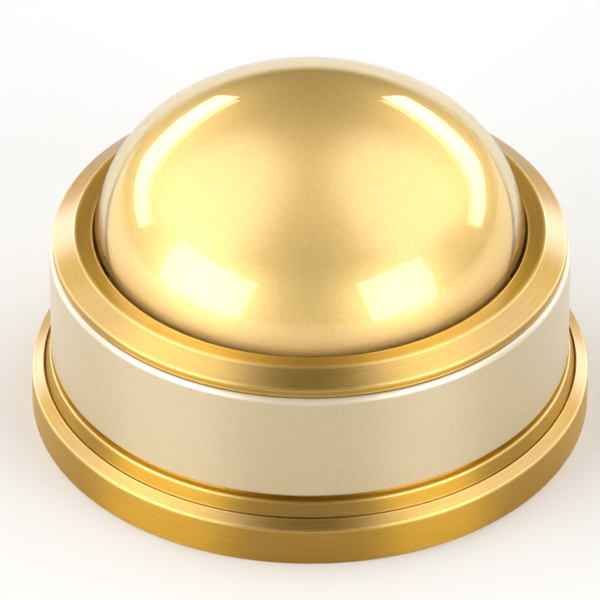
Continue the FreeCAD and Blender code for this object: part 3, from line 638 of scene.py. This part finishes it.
for name, look in plainLooks.items():
    for node in look["nodes"]:
        dress(nodes[node], plainFinishes[name])
standIn(flangePiece, "base", "base_flange", goldFinish)
standIn(collarPiece, "base", "collar_ring", goldFinish)
standIn(sleevePiece, "base", "body_sleeve", creamFinish)
standIn(bezelPiece, "base", "bezel_ring", goldFinish)
standIn(lensPiece, "plunger", "dome_lens", clearFinish)
standIn(reflectorPiece, "plunger", "reflector_dome", domeFinish)
standIn(grommetPiece, "base", "wire_grommet", plainFinishes["softRubber"])
standIn(screwPiece, "base", "plate_screws", plainFinishes["zincScrew"])
standIn(coilPiece, "base", "return_spring", plainFinishes["springWire"])
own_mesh(coilPiece)
print("pieces dressed")


# stage: pale floor, front panels, rim strips, overhead pair and camera
floorLook = {"size": 6.0, "cells": 8, "low": (0.82, 0.835, 0.86), "high": (0.84, 0.855, 0.88), "grain": 3.0,
             "shader": {"Roughness": 0.9, "Specular IOR Level": 0.1}}


def makeFloor():
    bm = bmesh.new()
    bmesh.ops.create_grid(bm, x_segments=floorLook["cells"], y_segments=floorLook["cells"],
                          size=floorLook["size"])
    floor = objectFrom(bm, "floor")
    finish, tree, shader = newFinish("paleFloor", floorLook["shader"])
    twoTone(tree, shader, speckle(tree, floorLook["grain"]), floorLook["low"], floorLook["high"])
    dress(floor, finish)


# degrees round the axis from the camera's side towards +X, degrees up, and metres
lamps = {
    "leftPanel": dict(azimuth=-58, elevation=17, distance=0.9, width=0.82, height=0.65, radiance=4.1),
    "rightPanel": dict(azimuth=48, elevation=17, distance=0.9, width=0.60, height=0.65, radiance=4.1),
    "leftRim": dict(azimuth=-135, elevation=18, distance=1.1, width=1.15, height=0.22, radiance=4.4),
    "rightRim": dict(azimuth=135, elevation=18, distance=1.1, width=1.15, height=0.22, radiance=4.4),
    "topLeft": dict(azimuth=-106, elevation=55, distance=1.1, width=1.8, height=1.4, radiance=1.62,
                    brightTo=0.45),
    "topRight": dict(azimuth=106, elevation=55, distance=1.1, width=1.8, height=1.4, radiance=1.62,
                     brightTo=0.45),
}
lampAim = Vector((0, 0, 0.03))


def aroundAxis(azimuth, elevation, distance):
    a, e = math.radians(azimuth), math.radians(elevation)
    return Vector((math.sin(a) * math.cos(e), -math.cos(a) * math.cos(e), math.sin(e))) * distance


def fadeEdges(lamp, brightTo):
    # an oval diffuser, even out to brightTo and dark at its edge
    lamp.use_nodes = True
    tree = lamp.node_tree
    half = 0.5  # the lamp's face runs from 0 to 1 each way
    spot = addNode(tree, "ShaderNodeNewGeometry")
    shift = addNode(tree, "ShaderNodeVectorMath", operation="SUBTRACT")
    shift.inputs[1].default_value = (half, half, 0)
    tree.links.new(spot.outputs["Parametric"], shift.inputs[0])
    reach = addNode(tree, "ShaderNodeVectorMath", operation="LENGTH")
    tree.links.new(shift.outputs["Vector"], reach.inputs[0])
    fade = remap(tree, reach.outputs["Value"], (half, half * brightTo), (0, 1), "SMOOTHSTEP")
    tree.links.new(fade, tree.nodes["Emission"].inputs["Strength"])


def makeLamp(name, look):
    lamp = bpy.data.lights.new(name, "AREA")
    lamp.shape = "RECTANGLE"
    lamp.size = look["width"]
    lamp.size_y = look["height"]
    lamp.energy = look["radiance"] * math.pi * look["width"] * look["height"]
    if "brightTo" in look:
        fadeEdges(lamp, look["brightTo"])
    place = aroundAxis(look["azimuth"], look["elevation"], look["distance"])
    panel = bpy.data.objects.new(name, lamp)
    panel.location = place
    panel.rotation_euler = (lampAim - place).to_track_quat("-Z", "Y").to_euler()
    bpy.context.scene.collection.objects.link(panel)


room = {"colour": (1.0, 0.82, 0.52), "strength": 0.16}  # warm and dim


def makeRoom():
    world = bpy.data.worlds.new("studio")
    bpy.context.scene.world = world
    world.use_nodes = True
    background = world.node_tree.nodes["Background"]
    background.inputs["Color"].default_value = (*room["colour"], 1)
    background.inputs["Strength"].default_value = room["strength"]


# focus and base point in the photograph's pixels, scale in metres for each pixel at the base
camera = {"elevation": 36.8, "focus": 8233.0, "scale": 0.1804 * mm, "baseX": 309.98, "baseY": 393.65,
          "picture": 600, "sensor": 36.0, "clipStart": 0.05, "clipEnd": 60}


def makeCamera():
    # the middle of the flange's underside lands on the pixel (baseX, baseY)
    e = math.radians(camera["elevation"])
    distance = camera["focus"] * camera["scale"]
    middle = camera["picture"] / 2
    right = Vector((1, 0, 0))
    up = Vector((0, math.sin(e), math.cos(e)))
    ahead = Vector((0, math.cos(e), -math.sin(e)))
    aim = ahead * camera["focus"] + right * (middle - camera["baseX"]) + up * (camera["baseY"] - middle)
    lensData = bpy.data.cameras.new("viewCamera")
    lensData.sensor_width = camera["sensor"]
    lensData.lens = camera["sensor"] * camera["focus"] / camera["picture"]
    lensData.clip_start = camera["clipStart"]
    lensData.clip_end = camera["clipEnd"]
    view = bpy.data.objects.new("viewCamera", lensData)
    view.location = -ahead * distance
    view.rotation_euler = aim.to_track_quat("-Z", "Y").to_euler()
    bpy.context.scene.collection.objects.link(view)
    bpy.context.scene.camera = view


makeFloor()
for name, look in lamps.items():
    makeLamp(name, look)
makeRoom()
makeCamera()
bpy.context.scene.view_settings.view_transform = "Standard"
bpy.context.scene.cycles.blur_glossy = 0.0  # the lens passes its light unblurred to the dome
print("stage set")
